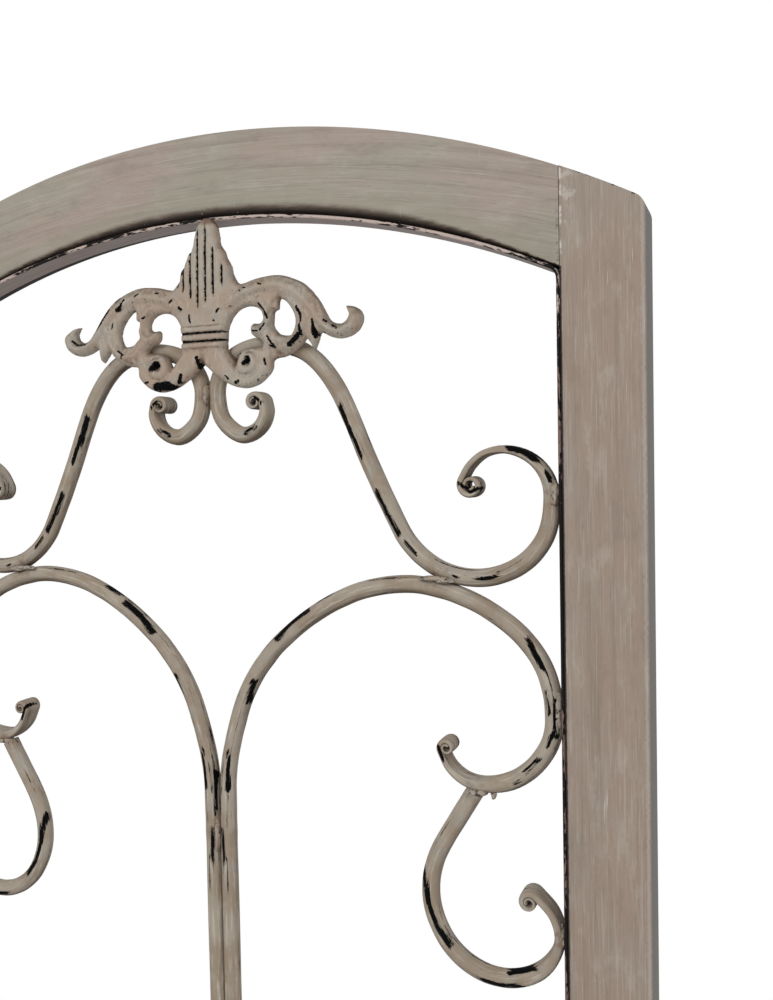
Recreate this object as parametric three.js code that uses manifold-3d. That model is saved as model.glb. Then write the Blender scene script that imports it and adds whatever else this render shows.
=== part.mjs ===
// Three-panel folding screen: arched wooden frames filled with painted iron scrollwork.
// Millimetres, +Z up. The origin is on the floor at the middle of the standing screen.
// A panel is drawn flat (X across, Z up, its front towards -Y) and then turned into the zigzag.
import * as THREE from 'three';
import { mergeVertices } from 'three/addons/utils/BufferGeometryUtils.js';
import { ConvexGeometry } from 'three/addons/geometries/ConvexGeometry.js';
import Module from 'manifold-3d';

const wasm = await Module();
wasm.setup();

// ---- wooden frame ----
const panelWidth = 430;
const panelHeight = 1700;      // floor to the crown of the arch
const woodThickness = 22;
const stileWidth = 36;
const railDepth = 40.5;        // top rail, at its crown
const archRadius = 445;        // outer edge of the arch
const openingRadius = 419;     // inner edge, flatter for its width
const cornerRadius = 8;        // outer top corner of a stile
const footHeight = 100;        // floor to the bottom rail
const bottomRailDepth = 62;

// ---- iron lining strip round the opening ----
const stripThickness = 1.6;
const stripDepth = 14;
const stripBend = 5;           // inner bend radius at its corners
const stripRecess = 0.5;       // set back from the front of the wood

// ---- forged bars ----
const barDiameter = 8.5;
const tipThickness = 3.2;      // hammered ends: thin across the curl
const tipDepth = 11.5;         // and wide from front to back
const longDraw = 62;           // length over which an end is drawn flat
const shortDraw = 42;
const middleScrollHeight = 304;

// ---- fleur-de-lis casting ----
const castThickness = 5;
const castSeat = 125.5;        // depth below the crown where its back meets the bars
const castLap = 1;             // how far its tip laps over the front edge of the strip
const castAside = 0.3;         // its foot, right of the centre line
const castSlant = 4.3;         // degrees its axis leans to the right, going up
const collarProud = 1.6;
const collarHalf = 13.7;
const reliefHeight = 1.8;

// ---- hinges ----
const leafThickness = 1.6;
const leafReach = 17;          // how far a leaf runs over the stile's edge
const leafHeight = 76;
const knuckleRadius = 3.6;
const pinRadius = 1.7;
const pinClearance = 0.3;
const pinHeadRadius = 2.9;
const hingeOffset = 4.4;       // pin axis outside the face of the wood
const panelGap = 4.4;          // between two stiles when the screen is straight
const hingeInset = 190;        // hinge centre from the shoulder and from the floor

// ---- standing pose, fits and fineness ----
const zigzag = 22;             // degrees each panel is turned from a straight line
const touch = 0.3;             // gap left where pieces touch
const barSides = 6;
const knuckleSides = 8;
const bendPerRing = 38;        // most degrees of bend between two rings of a bar
const sagPerRing = 0.9;        // most the bar may cut a corner between two rings

// ---- values that follow ----
const rad = THREE.MathUtils.degToRad;
const halfWidth = panelWidth / 2;
const openHalf = halfWidth - stileWidth;
const woodFront = -woodThickness / 2;
const stripFront = woodFront + stripRecess;
const ironPlane = stripFront + stripDepth / 2;
const barRadius = barDiameter / 2;
const archCentre = panelHeight - archRadius;
const openingCentre = panelHeight - railDepth - openingRadius;
const openFloor = footHeight + bottomRailDepth;
const stripFloor = openFloor + touch + stripThickness;
const stripWall = openHalf - touch - stripThickness;
const barReach = stripWall - touch - barRadius;      // bar lying against the strip
const thinReach = barReach + (barRadius - tipThickness / 2) * 0.6;   // where the bar is already half drawn
const barBeside = barRadius + touch / 2;             // bar lying against its twin
const shoulder = archCentre + Math.sqrt(archRadius ** 2 - halfWidth ** 2);

// ---- materials, one for every piece ----
const woodPaint = () => new THREE.MeshStandardMaterial({ color: 0x968c80, roughness: 0.72, metalness: 0 });
const ironPaint = () => new THREE.MeshStandardMaterial({ color: 0x9f958b, roughness: 0.55, metalness: 0.15 });
const agedBrass = () => new THREE.MeshStandardMaterial({ color: 0x6f6048, roughness: 0.45, metalness: 0.8 });

// ---- geometry helpers ----
function solidOf(geometry) {
  const plain = geometry.index ? geometry.toNonIndexed() : geometry.clone();
  plain.deleteAttribute('normal');
  plain.deleteAttribute('uv');
  const merged = mergeVertices(plain, 1e-4);
  return new wasm.Manifold(new wasm.Mesh({
    numProp: 3,
    vertProperties: new Float32Array(merged.attributes.position.array),
    triVerts: new Uint32Array(merged.index.array),
  }));
}

function geometryOf(solid) {
  const mesh = solid.getMesh();
  const xyz = [];
  for (let i = 0; i < mesh.numVert; i++) {
    for (let k = 0; k < 3; k++) xyz.push(mesh.vertProperties[i * mesh.numProp + k]);
  }
  return geometryFrom(xyz, [...mesh.triVerts]);
}

function geometryFrom(xyz, index) {
  const geometry = new THREE.BufferGeometry();
  geometry.setAttribute('position', new THREE.Float32BufferAttribute(xyz, 3));
  geometry.setIndex(index);
  geometry.computeVertexNormals();
  return geometry;
}

const pathOf = (points) => points.map(([x, z]) => new THREE.Vector2(x, z));

// A flat outline in the XZ plane, thickened from yFront towards +Y.
function plate(shape, yFront, thickness) {
  const geometry = new THREE.ExtrudeGeometry(shape, { depth: thickness, bevelEnabled: false });
  geometry.rotateX(Math.PI / 2);
  geometry.translate(0, yFront + thickness, 0);
  return geometry;
}

function block(x0, x1, y0, y1, z0, z1) {
  return new THREE.BoxGeometry(x1 - x0, y1 - y0, z1 - z0)
    .translate((x0 + x1) / 2, (y0 + y1) / 2, (z0 + z1) / 2);
}

// Points on an arc, both ends included. Angles in radians from +X towards +Z.
function arc(cx, cz, radius, from, to, steps) {
  return Array.from({ length: steps + 1 }, (_, i) => {
    const angle = from + ((to - from) * i) / steps;
    return [cx + radius * Math.cos(angle), cz + radius * Math.sin(angle)];
  });
}

// The arched window outline: wall at +-half, level floor, arch above, all corners with one bend.
function windowLoop(half, floor, radius, bend) {
  const side = half - bend;
  const rise = openingCentre + Math.sqrt((radius - bend) ** 2 - side ** 2);
  const lean = Math.atan2(rise - openingCentre, side);
  const right = [
    ...arc(side, floor + bend, bend, -Math.PI / 2, 0, 4),
    ...arc(side, rise, bend, 0, lean, 4),
  ];
  const crown = arc(0, openingCentre, radius, lean, Math.PI - lean, 14).slice(1, -1);
  const left = right.map(([x, z]) => [-x, z]).reverse();
  return [...right, ...crown, ...left];
}

// ---- forged bars ----
// Stations along a smooth curve through the control points, closer together where it bends.
function stations(controls) {
  const curve = new THREE.CatmullRomCurve3(
    controls.map(([x, z]) => new THREE.Vector3(x, 0, z)), false, 'centripetal');
  const fine = curve.getPoints(controls.length * 12);
  const straight = 5 * barDiameter / 2;
  const result = [];
  let length = 0;
  let bend = 0;
  let since = 0;
  fine.forEach((place, i) => {
    const ahead = fine[Math.min(i + 1, fine.length - 1)];
    const behind = fine[Math.max(i - 1, 0)];
    const into = place.clone().sub(behind);
    const out = ahead.clone().sub(place);
    const ends = i === 0 || i === fine.length - 1;
    length += into.length();
    since += into.length();
    if (!ends) bend += into.angleTo(out);
    const meetsStraight = (into.length() > straight) !== (out.length() > straight);
    if (ends || meetsStraight || bend > rad(bendPerRing) || (since * bend) / 8 > sagPerRing) {
      result.push({ place, direction: ahead.clone().sub(behind).normalize(), length });
      bend = 0;
      since = 0;
    }
  });
  return result;
}

// A bar, round in the middle. drawStart and drawEnd are the lengths over which its ends are hammered flat.
function forgedBar(controls, drawStart, drawEnd) {
  const rings = stations(controls);
  const total = rings[rings.length - 1].length;
  const flatSide = Math.sin((2 * Math.PI * Math.round(barSides / 4)) / barSides);
  const roundness = (along, drawn) => (drawn ? THREE.MathUtils.smoothstep(along, drawn * 0.35, drawn) : 1);
  const xyz = [];
  const index = [];
  for (const { place, direction, length } of rings) {
    const round = Math.min(roundness(length, drawStart), roundness(total - length, drawEnd));
    const across = THREE.MathUtils.lerp(tipThickness / 2, barRadius, round);
    const deep = THREE.MathUtils.lerp(tipDepth / 2, barRadius, round) / flatSide;
    for (let k = 0; k < barSides; k++) {
      const angle = (2 * Math.PI * k) / barSides;
      const side = across * Math.cos(angle);
      xyz.push(place.x + direction.z * side, ironPlane + deep * Math.sin(angle), place.z - direction.x * side);
    }
  }
  for (let r = 0; r + 1 < rings.length; r++) {
    for (let k = 0; k < barSides; k++) {
      const a = r * barSides + k;
      const b = r * barSides + ((k + 1) % barSides);
      index.push(a, b, a + barSides, b, b + barSides, a + barSides);
    }
  }
  const last = (rings.length - 1) * barSides;
  for (let k = 1; k + 1 < barSides; k++) {
    index.push(0, k + 1, k);
    index.push(last, last + k, last + k + 1);
  }
  return geometryFrom(xyz, index);
}

// Scroll routes: across from the centre line, and depth below the crown of the arch.
// A route's widest point is fitted to the bar's reach. Its curls near the strip move with it as they are,
// its spine keeps its place at the centre bar, and the run between them takes up the difference.
const fitAcross = (reach, points) => {
  const widest = Math.max(...points.map(([x]) => x));
  return points.map(([x, level]) => [x + (reach - widest) * THREE.MathUtils.clamp(x / 80 - 0.25, 0, 1), level]);
};
const shoulderRoute = fitAcross(barReach, [
  [27.4, 134.4], [25.4, 132.6], [27.4, 130], [31.4, 131.2], [33.6, 135], [32.4, 140.6], [28, 145.6], [21, 148],
  [13, 145.4], [7, 139.6], [barBeside, 132], [barBeside, 123], [7.4, 115.4], [14.6, 108.4], [25, 104.6],
  [38, 104], [50, 107], [58, 112], [66, 121], [73, 133], [84, 159], [95, 183],
  [102.6, 197.6], [109.6, 205.6], [119, 212], [130, 215.4], [141, 215.6], [152, 212.6], [162, 206], [169, 196.4],
  [171.65, 184], [170.6, 172], [164.4, 163], [153, 158], [142, 159.4], [135, 165], [131.6, 171.4],
  [133.4, 177.4], [138.4, 178], [140, 174.4],
]);
const loopCrown = 219.6;
const loopRoute = fitAcross(barReach, [
  [barBeside, 360], [barBeside, 340], [barBeside + 0.8, 318], [8.6, 301], [16.4, 278], [28, 259.6], [42, 245.4], [60, 232.6],
  [80, 223.4], [102, loopCrown], [116, 220.8], [130, 224.6], [144, 231.4], [158, 242], [167.6, 256],
  [171.65, 273], [170, 288], [162, 300.4], [151, 308], [139, 310.4], [130, 308.6], [123.4, 303.4],
  [119.2, 297.4],
  [121, 292], [125.6, 291.6], [127, 295.4],
]);
const sideRoute = fitAcross(thinReach, [
  [134.4, 314.4], [127.6, 325.6], [120, 338], [114.4, 350], [112.2, 363], [114.4, 376], [121, 388],
  [132, 396.4], [145, 399.6], [158, 396.8], [168, 389], [173.24, 377], [170.6, 366], [164, 358.6],
  [157.4, 357.8], [153.8, 361.8], [156.4, 365.4],
]);

// The middle scroll's upper half: across, and height above its own middle. It leans on the centre bar.
const middleSpine = barBeside + 2 * barRadius + touch;
const middleTop = middleScrollHeight / 2 - barRadius;
const middleRoute = fitAcross(barReach, [
  [middleSpine, 0], [middleSpine + 3, middleTop - 108], [middleSpine + 14, middleTop - 62], [48, middleTop - 24],
  [80, middleTop - 5], [112, middleTop], [142, middleTop - 9], [163, middleTop - 30], [171.65, middleTop - 56],
  [166, middleTop - 80], [151, middleTop - 93], [135, middleTop - 89], [128, middleTop - 76],
  [134, middleTop - 66], [142, middleTop - 70],
]);

const head = ([x, depth]) => [x, panelHeight - depth];
const foot = ([x, depth]) => [x, stripFloor + touch + barRadius + depth - loopCrown];
const flip = ([x, z]) => [-x, z];

const middleHeight = (head([0, 0])[1] + foot([0, 0])[1]) / 2;
const headScroll = shoulderRoute.map(head);
const centreBar = [...loopRoute.map(foot).reverse(), ...loopRoute.map(head)];
const upperSide = sideRoute.map(head);
const lowerSide = sideRoute.map(foot);
const middleScroll = [
  ...middleRoute.slice(1).reverse().map(([x, z]) => [x, middleHeight - z]),
  ...middleRoute.map(([x, z]) => [x, middleHeight + z]),
];

// ---- fleur-de-lis casting, drawn flat: right half, across and depth below the crown ----
const castEdge = [
  [0, 41.8], [1.8, 42.2], [3.6, 43.8], [5.6, 46.7], [6.9, 52], [7.5, 55.3], [10, 58.6], [11.3, 61.8], [14.1, 66.4],
  [14.9, 69.8], [18.8, 74.8], [27.8, 73], [36, 72.2], [42, 72.7], [48.4, 74.9], [53.8, 77.6], [58.6, 82], [62.4, 86.6],
  [65.3, 91.2], [68, 95.4], [70.9, 97], [74.2, 97.2], [76.6, 95.4], [77.4, 93], [75.4, 89.3], [79.8, 90],
  [83.2, 92], [84.9, 94.9], [84.6, 97.9], [82.8, 101], [79.2, 103.4], [74.1, 104.4], [69.1, 103.4], [65.3, 101.6],
  [63.4, 100.8], [62.4, 104.6], [60.7, 108.8], [58, 105.4], [56, 102.8], [53.9, 105.9], [48.2, 109.6], [44.8, 111.1],
  [40.2, 111.7], [38.5, 113.1], [38.2, 116.6], [36.3, 119.4], [32, 122.9], [27.6, 124.6], [23.8, 125.1],
  [18.4, 124.2], [13.6, 122.3], [10.4, 120.4], [6.6, 118], [3.6, 115.4],
  [0, 112.5],
];
const castEye = [
  [41.3, 83.4], [44, 84.8], [46.6, 87.4], [49, 91], [50, 94.6], [49.5, 98], [47.6, 100.9], [44.2, 100.9],
  [40.9, 99.8], [38.1, 96.2], [38.2, 92.4], [38.4, 89.4], [40.4, 88.6], [40.6, 86],
];
const castCurl = [
  [13, 96.1], [14.6, 92], [16.9, 88.9], [20, 86.8], [24.4, 85.9], [28.6, 86.8], [31.2, 88.8], [32.3, 91.8],
  [31.5, 93.9], [29, 94.4], [27.3, 94.1], [26, 95.2], [25.7, 97.2], [26.2, 99.2], [28, 100.8], [31, 102],
  [33, 104], [32.9, 105.1], [28.6, 105.4], [23.4, 106.2], [20.6, 109.2], [18.9, 113], [15, 108.6], [12.7, 104.8],
];
const collarBands = [[94.5, 97.1], [97.7, 100.8], [101.4, 104.2]];
const voluteHub = [28.4, 115.4];
// Raised spine of a leaf: across, depth, half its width.
const leafRidge = [[13.8, 86.8, 2.6], [25.7, 79.4, 3.4], [40.5, 77.6, 3.8], [52.6, 83.2, 3.6], [60, 93.6, 2.8]];

// Its foot seats on the bars and its tip on the front edge of the strip.
function castingGeometry() {
  const seatZ = panelHeight - castSeat;
  const seatY = ironPlane - barRadius - touch;
  const tipZ = panelHeight - railDepth - touch - stripThickness + castLap;
  const lean = Math.atan2(seatY - (stripFront - touch), tipZ - seatZ);
  const rise = (tipZ - seatZ) / Math.cos(lean);
  const stretch = (depth) => ((castSeat - depth) * rise) / (castSeat - castEdge[0][1]);
  const aside = (depth) => castAside + (castSeat - depth) * Math.tan(rad(castSlant));
  const local = ([x, depth]) => [x + aside(depth), stretch(depth)];
  const outer = [...castEdge, ...castEdge.slice(1, -1).map(flip).reverse()].map(local);
  let body = solidOf(plate(new THREE.Shape(pathOf(outer)), -castThickness, castThickness));
  for (const ring of [castEye, castCurl, castEye.map(flip), castCurl.map(flip)]) {
    body = body.subtract(solidOf(plate(new THREE.Shape(pathOf(ring.map(local))), -castThickness - 1, castThickness + 2)));
  }
  const pieces = [];
  const relief = (points, proud, sink = 1) => new ConvexGeometry(points.flatMap(([x, depth, lift]) => [
    new THREE.Vector3(x + aside(depth), -castThickness - proud * lift, stretch(depth)),
    new THREE.Vector3(x + aside(depth), -castThickness + sink, stretch(depth))]));
  pieces.push(relief([[0, 47, 0], [-6, 58, 0], [6, 58, 0], [-12, 72, 0], [12, 72, 0], [-9, 92.4, 0], [9, 92.4, 0],
    [-3, 60, 1], [3, 60, 1], [-5, 88, 1], [5, 88, 1]], reliefHeight));
  for (const [top, bottom] of collarBands) {
    pieces.push(block(-collarHalf, collarHalf, -castThickness - collarProud, -0.4, stretch(bottom), stretch(top))
      .translate(aside(bottom), 0, 0));
  }
  const [highest, , lowest] = collarBands;
  pieces.push(block(-collarHalf + 1, collarHalf - 1, -castThickness - collarProud / 2, -1,
    stretch(lowest[1] - 0.4), stretch(highest[0] + 0.4)).translate(aside(lowest[0]), 0, 0));
  for (const side of [-1, 1]) {
    const [x, depth] = voluteHub;
    const hub = new THREE.CylinderGeometry(8.2, 4.6, reliefHeight + 1, 10);
    pieces.push(hub.translate(side * x + aside(depth), -castThickness - (reliefHeight - 1) / 2, stretch(depth)));
    for (let i = 0; i + 1 < leafRidge.length; i++) {
      pieces.push(relief([leafRidge[i], leafRidge[i + 1]].flatMap(([px, pd, half]) => [
        [side * px, pd - half, 0], [side * px - half, pd, 0], [side * px + half, pd, 0], [side * px, pd + half, 0],
        [side * px, pd, 1]]), reliefHeight));
    }
  }
  const geometry = geometryOf(pieces.map(solidOf).reduce((all, next) => all.add(next), body));
  geometry.rotateX(lean);
  geometry.translate(0, seatY, seatZ);
  return geometry;
}

// ---- wooden pieces of one panel ----
function stileGeometry() {
  const inner = openHalf;
  const rounding = arc(halfWidth - cornerRadius, 0, cornerRadius, 0, Math.PI / 2, 4);
  const drop = archCentre + Math.sqrt(archRadius ** 2 - (halfWidth - cornerRadius) ** 2) - cornerRadius;
  const corner = rounding.map(([x, z]) => [x, z + drop]).filter(([x, z]) => Math.hypot(x, z - archCentre) <= archRadius);
  const from = Math.atan2(drop + cornerRadius - archCentre, halfWidth - cornerRadius);
  const start = Math.max(from, Math.atan2(corner[corner.length - 1][1] - archCentre, corner[corner.length - 1][0]));
  const top = arc(0, archCentre, archRadius, start, Math.acos(inner / archRadius), 3).slice(1);
  return plate(new THREE.Shape(pathOf([[inner, 0], [halfWidth, 0], ...corner, ...top])), woodFront, woodThickness);
}

function topRailGeometry() {
  const reach = openHalf - touch;
  const outer = Math.acos(reach / archRadius);
  const inner = Math.acos(reach / openingRadius);
  return plate(new THREE.Shape(pathOf([
    ...arc(0, archCentre, archRadius, outer, Math.PI - outer, 14),
    ...arc(0, openingCentre, openingRadius, Math.PI - inner, inner, 14)])), woodFront, woodThickness);
}

function stripGeometry() {
  const shape = new THREE.Shape(pathOf(windowLoop(openHalf - touch, openFloor + touch, openingRadius - touch,
    stripBend + stripThickness)));
  shape.holes.push(new THREE.Path(pathOf(windowLoop(stripWall, stripFloor, openingRadius - touch - stripThickness, stripBend))));
  return plate(shape, stripFront, stripDepth);
}

// ---- hinges ----
// One leaf lies on the edge of a stile. side is the end of the panel, face the side the pin stands on.
const pinAcross = halfWidth + panelGap / 2;
const pinOut = woodThickness / 2 + hingeOffset;
const knuckleHeight = (leafHeight - 2 * touch) / 3;

function leafGeometry(side, face, centreZ, knuckles) {
  const x0 = halfWidth + touch;
  const x1 = x0 + leafThickness;
  const span = (a, b) => [Math.min(side * a, side * b), Math.max(side * a, side * b)];
  const deep = (a, b) => [Math.min(face * a, face * b), Math.max(face * a, face * b)];
  const base = centreZ - leafHeight / 2;
  const clear = pinOut - knuckleRadius - 2 * touch;
  const pieces = [block(...span(x0, x1), ...deep(clear - leafReach, clear), base, base + leafHeight)];
  const bores = [];
  for (const k of knuckles) {
    const z0 = base + k * (knuckleHeight + touch);
    pieces.push(block(...span(x0, x1), ...deep(clear - 1, pinOut), z0, z0 + knuckleHeight));
    const barrel = new THREE.CylinderGeometry(knuckleRadius, knuckleRadius, knuckleHeight, knuckleSides);
    pieces.push(barrel.rotateX(Math.PI / 2).translate(side * pinAcross, face * pinOut, z0 + knuckleHeight / 2));
    const bore = new THREE.CylinderGeometry(pinRadius + pinClearance, pinRadius + pinClearance, knuckleHeight + 2, knuckleSides);
    bores.push(bore.rotateX(Math.PI / 2).translate(side * pinAcross, face * pinOut, z0 + knuckleHeight / 2));
  }
  const solid = pieces.map(solidOf).reduce((all, next) => all.add(next));
  return geometryOf(bores.map(solidOf).reduce((all, next) => all.subtract(next), solid));
}

function pinGeometry(side, face, centreZ) {
  const end = leafHeight / 2 + touch;
  const half = [[0, end + 3], [pinHeadRadius, end + 1.6], [pinHeadRadius, end], [pinRadius, end]];
  const profile = [...half.map(([r, h]) => new THREE.Vector2(r, -h)),
    ...half.map(([r, h]) => new THREE.Vector2(r, h)).reverse()];
  return new THREE.LatheGeometry(profile, knuckleSides).rotateX(Math.PI / 2)
    .translate(side * pinAcross, face * pinOut, centreZ);
}

// ---- assembly ----
const screen = new THREE.Group();

function piece(group, name, geometry, material) {
  const mesh = new THREE.Mesh(geometry, material);
  mesh.name = name;
  group.add(mesh);
}

function mirrorX(geometry) {
  const copy = geometry.clone().scale(-1, 1, 1);
  if (!copy.index) copy.setIndex([...Array(copy.attributes.position.count).keys()]);
  const order = [...copy.index.array];
  for (let i = 0; i < order.length; i += 3) [order[i], order[i + 1]] = [order[i + 1], order[i]];
  copy.setIndex(order);
  copy.computeVertexNormals();
  return copy;
}

function panel(name) {
  const group = new THREE.Group();
  const stile = stileGeometry();
  piece(group, `${name}_stile_right`, stile, woodPaint());
  piece(group, `${name}_stile_left`, mirrorX(stile), woodPaint());
  piece(group, `${name}_top_rail`, topRailGeometry(), woodPaint());
  const reach = openHalf - touch;
  piece(group, `${name}_bottom_rail`,
    block(-reach, reach, woodFront, woodFront + woodThickness, footHeight, openFloor), woodPaint());
  piece(group, `${name}_lining_strip`, stripGeometry(), ironPaint());
  piece(group, `${name}_fleur_de_lis`, castingGeometry(), ironPaint());
  const bars = {
    shoulder_scroll: forgedBar(headScroll, shortDraw, longDraw),
    centre_bar: forgedBar(centreBar, shortDraw, shortDraw),
    upper_side_scroll: forgedBar(upperSide, 0, longDraw),
    lower_side_scroll: forgedBar(lowerSide, 0, longDraw),
    middle_scroll: forgedBar(middleScroll, longDraw, longDraw),
  };
  for (const [bar, geometry] of Object.entries(bars)) {
    piece(group, `${name}_${bar}_right`, geometry, ironPaint());
    piece(group, `${name}_${bar}_left`, mirrorX(geometry), ironPaint());
  }
  return group;
}

const middle = panel('middle');
const left = panel('left');
const right = panel('right');
const hingeHeights = { lower: hingeInset, upper: shoulder - hingeInset };

// The left joint opens to the back and the right joint to the front, so the screen folds like a Z.
for (const [joint, side, face, outer] of [['left', -1, 1, left], ['right', 1, -1, right]]) {
  for (const [level, z] of Object.entries(hingeHeights)) {
    piece(middle, `${joint}_${level}_hinge_leaf_inner`, leafGeometry(side, face, z, [0, 2]), agedBrass());
    piece(middle, `${joint}_${level}_hinge_pin`, pinGeometry(side, face, z), agedBrass());
    piece(outer, `${joint}_${level}_hinge_leaf_outer`, leafGeometry(-side, face, z, [1]), agedBrass());
  }
}

middle.rotation.z = rad(zigzag);
middle.updateMatrix();
for (const [side, face, outer] of [[-1, 1, left], [1, -1, right]]) {
  const pin = new THREE.Vector3(side * pinAcross, face * pinOut, 0).applyMatrix4(middle.matrix);
  outer.rotation.z = rad(-zigzag);
  const own = new THREE.Vector3(-side * pinAcross, face * pinOut, 0).applyEuler(outer.rotation);
  outer.position.copy(pin.sub(own));
}
screen.add(left, middle, right);

export default screen;
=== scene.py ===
from math import atan2, copysign, cos, dist, pi, radians, sin, sqrt, tan

import bmesh
import bpy
import numpy as np
from mathutils import Matrix, Vector, noise


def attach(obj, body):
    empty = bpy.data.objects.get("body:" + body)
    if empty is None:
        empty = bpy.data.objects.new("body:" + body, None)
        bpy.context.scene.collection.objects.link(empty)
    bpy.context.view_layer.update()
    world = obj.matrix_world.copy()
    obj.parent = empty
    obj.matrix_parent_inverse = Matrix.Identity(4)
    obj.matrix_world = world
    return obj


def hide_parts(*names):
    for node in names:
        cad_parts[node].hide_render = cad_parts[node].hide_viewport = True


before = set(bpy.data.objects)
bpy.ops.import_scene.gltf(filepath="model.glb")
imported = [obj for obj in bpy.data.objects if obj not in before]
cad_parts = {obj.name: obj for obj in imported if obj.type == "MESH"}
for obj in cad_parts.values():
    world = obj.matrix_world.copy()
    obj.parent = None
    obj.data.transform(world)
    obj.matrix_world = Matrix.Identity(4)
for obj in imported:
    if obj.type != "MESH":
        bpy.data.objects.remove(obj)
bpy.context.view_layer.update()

scene = bpy.context.scene
scene.view_settings.view_transform = "Standard"

# Camera first: a wide view close to the top corner of the right panel. Focal length in pixels of the long side.
photoView = {"place": (0.4984, -0.5014, 1.5373), "yaw": 0.25, "pitch": -2.17, "roll": -1.12,
             "focal": 985.7, "longSide": 1000}


def addObject(name, data):
    made = bpy.data.objects.new(name, data)
    scene.collection.objects.link(made)
    return made


def toMesh(name, work):
    mesh = bpy.data.meshes.new(name)
    work.to_mesh(mesh)
    work.free()
    return mesh


def setCamera():
    data = bpy.data.cameras.new("photoCamera")
    data.sensor_width = 36
    data.lens = photoView["focal"] / photoView["longSide"] * data.sensor_width
    data.clip_start = 0.01
    camera = addObject("photoCamera", data)
    yaw, pitch, roll = (radians(photoView[k]) for k in ("yaw", "pitch", "roll"))
    level = Vector((sin(yaw), cos(yaw), 0))
    side = Vector((cos(yaw), -sin(yaw), 0))
    ahead = cos(pitch) * level + sin(pitch) * Vector((0, 0, 1))
    above = cos(pitch) * Vector((0, 0, 1)) - sin(pitch) * level
    right = cos(roll) * side + sin(roll) * above
    up = cos(roll) * above - sin(roll) * side
    facing = Matrix((right, up, -ahead)).transposed().to_4x4()
    camera.matrix_world = Matrix.Translation(photoView["place"]) @ facing
    scene.camera = camera


setCamera()
print("camera set")

# Sizes in millimetres, as the frame has them. A panel is worked out flat: x across, y back, z up.
screen = {"width": 430, "height": 1700, "thickness": 22, "stile": 36, "rail": 40.5, "archRadius": 445,
          "openingRadius": 419, "corner": 8, "foot": 100, "bottomRail": 62, "zigzag": 22, "panelGap": 4.4,
          "hingeOffset": 4.4, "touch": 0.3}
touch = screen["touch"]
halfWidth = screen["width"] / 2
woodHalf = screen["thickness"] / 2
openHalf = halfWidth - screen["stile"]
outerArch = screen["archRadius"]
archCentre = screen["height"] - outerArch
innerArch = screen["openingRadius"]
openingCentre = screen["height"] - screen["rail"] - innerArch
openFloor = screen["foot"] + screen["bottomRail"]
pinAcross = halfWidth + screen["panelGap"] / 2
pinOut = woodHalf + screen["hingeOffset"]
barDiameter, stripThickness, stripDepth = 8.5, 1.6, 14
turn = radians(screen["zigzag"])
panelStep = 2 * (pinAcross * cos(turn) + pinOut * sin(turn))
panels = {"left": (-panelStep, -turn), "middle": (0, turn), "right": (panelStep, -turn)}


def panelFrame(panel):
    x, angle = panels[panel]
    return Matrix.Translation((x / 1000, 0, 0)) @ Matrix.Rotation(angle, 4, "Z") @ Matrix.Scale(0.001, 4)


def tone(r, g, b):
    return tuple(((c / 255 + 0.055) / 1.055) ** 2.4 if c > 10 else c / 3294.6 for c in (r, g, b)) + (1,)


class Wire:
    def __init__(self, paint, socket):
        self.paint, self.socket = paint, socket

    def math(self, operation, *others):
        return self.paint.node("Math", dict(enumerate((self,) + others)), operation=operation)

    def __add__(self, other): return self.math("ADD", other)
    def __sub__(self, other): return self.math("SUBTRACT", other)
    def __mul__(self, other): return self.math("MULTIPLY", other)
    def __truediv__(self, other): return self.math("DIVIDE", other)
    def __rsub__(self, other): return self.paint.node("Math", {0: other, 1: self}, operation="SUBTRACT")
    def __neg__(self): return self * -1
    __radd__ = __add__
    __rmul__ = __mul__

    def size(self): return self.math("ABSOLUTE")
    def root(self): return self.math("SQRT")
    def least(self, other): return self.math("MINIMUM", other)
    def most(self, other): return self.math("MAXIMUM", other)

    def step(self, low, high):
        return self.paint.node("MapRange", {"Value": self, "From Min": low, "From Max": high},
                               interpolation_type="SMOOTHSTEP")

    def times(self, vector):
        return self.paint.node("VectorMath", {0: self, 1: vector}, operation="MULTIPLY")

    def parts(self):
        made = self.paint.node("SeparateXYZ", {"Vector": self}).socket.node
        return tuple(Wire(self.paint, made.outputs[k]) for k in range(3))


class Paint:
    def __init__(self, owner, look=None):
        self.owner, self.look = owner, look
        owner.use_nodes = True
        self.tree = owner.node_tree
        self.tree.nodes.clear()

    def node(self, kind, sockets=None, out=0, **settings):
        made = self.tree.nodes.new("ShaderNode" + kind)
        for key, value in settings.items():
            setattr(made, key, value)
        for key, value in (sockets or {}).items():
            if isinstance(value, Wire):
                self.tree.links.new(value.socket, made.inputs[key])
            else:
                made.inputs[key].default_value = value
        return Wire(self, made.outputs[out] if made.outputs else None)

    def cloud(self, vector, scale, detail=3, rough=0.5):
        return self.node("TexNoise", {"Vector": vector, "Scale": scale, "Detail": detail, "Roughness": rough})

    def attribute(self, name, out="Fac"):
        return self.node("Attribute", out=out, attribute_name=name)

    def mix(self, factor, under, over):
        return self.node("Mix", {0: factor, 6: under, 7: over}, 2, data_type="RGBA")

    def coat(self, factor, name):
        self.colour = self.mix(factor, self.colour, self.look[name])

    def finish(self, roughness, height, metallic=0, shine=0.3):
        bump = self.node("Bump", {"Height": height, "Distance": self.look["bump"], "Strength": 1})
        skin = self.node("BsdfPrincipled", {"Base Color": self.colour, "Roughness": roughness, "Metallic": metallic,
                                            "Normal": bump, "Specular IOR Level": shine})
        self.node("OutputMaterial", {"Surface": skin})
        return self.owner


def newPaint(name, look=None):
    return Paint(bpy.data.materials.new(name), look)


def panelSpot(paint, panel):
    x, angle = panels[panel]
    spot = paint.node("TexCoord", out="Object")
    place = {"Vector": spot, "Location": (x / 1000, 0, 0), "Rotation": (0, 0, angle), "Scale": (0.001,) * 3}
    return paint.node("Mapping", place, vector_type="TEXTURE")


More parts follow.
